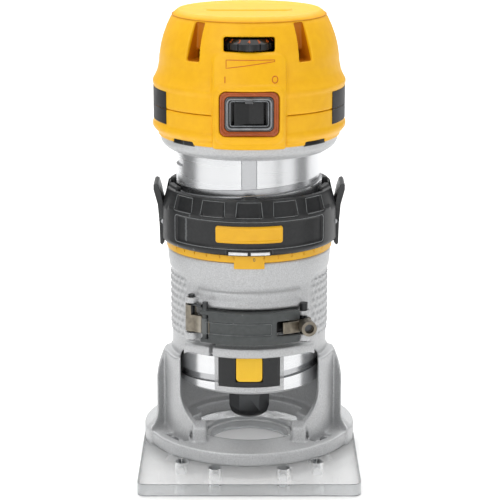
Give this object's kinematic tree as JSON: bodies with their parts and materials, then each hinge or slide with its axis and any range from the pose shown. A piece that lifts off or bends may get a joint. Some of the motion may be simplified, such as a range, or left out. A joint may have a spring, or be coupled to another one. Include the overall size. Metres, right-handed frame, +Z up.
{
  "type": "trim router",
  "caption": "Compact fixed-base trim router: round motor with threaded depth ring, squeeze tabs and a clamp lever, in a cast base on a clear sub-base.",
  "frame": {"origin": "centre of the sub-base's hole on the spindle axis, at the sub-base's underside", "axes": "+Z up along the spindle, -Y towards the switch and the clamp lever, +X to the right seen from that side"},
  "size_m": [0.102, 0.1235, 0.2136],
  "materials": {
    "cast_aluminium": "as cast, fine grain",
    "machined_aluminium": "turned bright, cast flare",
    "clear_plastic": "clear polycarbonate",
    "steel": "plain",
    "clamp_steel": "nickel plated, dulled",
    "lever_metal": "satin dark grey",
    "black_plastic": "fine texture",
    "yellow_plastic": "satin",
    "orange_plastic": "satin",
    "pointer_metal": "satin",
    "label_film": "plain dark film",
    "black_rubber": "matte",
    "boot_rubber": "translucent grey",
    "circuit_board": "green",
    "brass": "plain",
    "carbon": "graphite",
    "lamination_steel": "stacked laminations",
    "copper": "varnished copper",
    "black_steel": "black oxide",
    "lamp_lens": "clear lens"
  },
  "bodies": {
    "base": {"base_casting": "cast_aluminium", "sub_base": "clear_plastic", "sub_base_screws": "steel", "guide_pin": "steel", "clamp_bracket": "clamp_steel", "clamp_hinge_pins": "steel"},
    "lever": {"clamp_lever": "lever_metal"},
    "link": {"clamp_link": "clamp_steel", "clamp_nut": "clamp_steel"},
    "ring": {"depth_ring": "black_plastic", "ring_pointer": "pointer_metal", "ring_badge": "yellow_plastic", "tab_pivot_pins": "steel", "tab_spring_left": "steel", "tab_spring_right": "steel"},
    "tab_left": {"release_tab_left": "black_plastic"},
    "tab_right": {"release_tab_right": "black_plastic"},
    "scale": {"scale_ring": "yellow_plastic"},
    "motor": {"motor_housing": "machined_aluminium", "top_cap": "yellow_plastic", "lower_collar": "yellow_plastic", "label_plates": "label_film", "cap_screws": "steel", "cord_gland": "black_rubber", "switch_body": "black_plastic", "switch_boot": "boot_rubber", "switch_bezel": "orange_plastic", "speed_module": "circuit_board", "brush_frame": "black_plastic", "brush_holders": "brass", "carbon_brushes": "carbon", "upper_bearing_bracket": "black_plastic", "upper_bearing_outer_race": "steel", "lower_bearing_outer_race": "steel", "bearing_cover": "black_plastic", "field_core": "lamination_steel", "field_coils": "copper", "lock_housing": "black_plastic", "work_lights": "lamp_lens", "lock_spring": "steel"},
    "spindle": {"spindle": "steel", "armature_core": "lamination_steel", "armature_windings": "copper", "commutator": "copper", "cooling_fan": "black_plastic", "collet": "steel", "collet_nut": "black_steel", "upper_bearing_inner_race": "steel", "lower_bearing_inner_race": "steel", "bearing_balls": "steel"},
    "lock": {"lock_button": "yellow_plastic", "lock_pin": "steel"},
    "rocker": {"switch_rocker": "black_plastic"},
    "dial": {"speed_dial": "black_plastic"}
  },
  "joints": [
    {"name": "motor_slide", "type": "slide", "parent": "base", "child": "motor", "axis": [0, 0, 1], "range_m": [-0.01, 0.028]},
    {"name": "ring_turn", "type": "hinge", "parent": "base", "child": "ring", "pos_m": [0, 0, 0.11], "axis": [0, 0, 1], "range_deg": [-796, 285]},
    {"name": "scale_turn", "type": "hinge", "parent": "ring", "child": "scale", "pos_m": [0, 0, 0.102], "axis": [0, 0, 1], "continuous": true},
    {"name": "tab_left_squeeze", "type": "hinge", "parent": "ring", "child": "tab_left", "pos_m": [-0.0404, 0, 0.114], "axis": [0, 1, 0], "range_deg": [0, 7], "stiffness_Nm_per_rad": 0.5, "springref_deg": -11.46, "deforming": ["tab_spring_left"]},
    {"name": "tab_right_squeeze", "type": "hinge", "parent": "ring", "child": "tab_right", "pos_m": [0.0404, 0, 0.114], "axis": [0, -1, 0], "range_deg": [0, 7], "stiffness_Nm_per_rad": 0.5, "springref_deg": -11.46, "deforming": ["tab_spring_right"]},
    {"name": "lever_open", "type": "hinge", "parent": "base", "child": "lever", "pos_m": [-0.0203, -0.0379, 0.07], "axis": [0, 0, -1], "range_deg": [0, 100]},
    {"name": "link_swing", "type": "hinge", "parent": "base", "child": "link", "pos_m": [0.0253, -0.034, 0.07], "axis": [0, 0, 1], "range_deg": [0, 3.2]},
    {"name": "spindle_turn", "type": "hinge", "parent": "motor", "child": "spindle", "pos_m": [0, 0, 0.06], "axis": [0, 0, 1], "continuous": true},
    {"name": "lock_press", "type": "slide", "parent": "motor", "child": "lock", "axis": [0, 1, 0], "range_m": [0, 0.0036], "stiffness_N_per_m": 600, "springref_m": -0.002, "deforming": ["lock_spring"]},
    {"name": "rocker_tip", "type": "hinge", "parent": "motor", "child": "rocker", "pos_m": [0, -0.0386, 0.17], "axis": [0, 0, -1], "range_deg": [0, 14]},
    {"name": "dial_turn", "type": "hinge", "parent": "motor", "child": "dial", "pos_m": [0, -0.0296, 0.2], "axis": [0, 0, 1], "range_deg": [-150, 150]}
  ],
  "couplings": [
    {"joint": "ring_turn", "follows": "motor_slide", "rad_per_m": -494.74},
    {"joint": "link_swing", "follows": "lever_open", "ratio": 0.03}
  ]
}
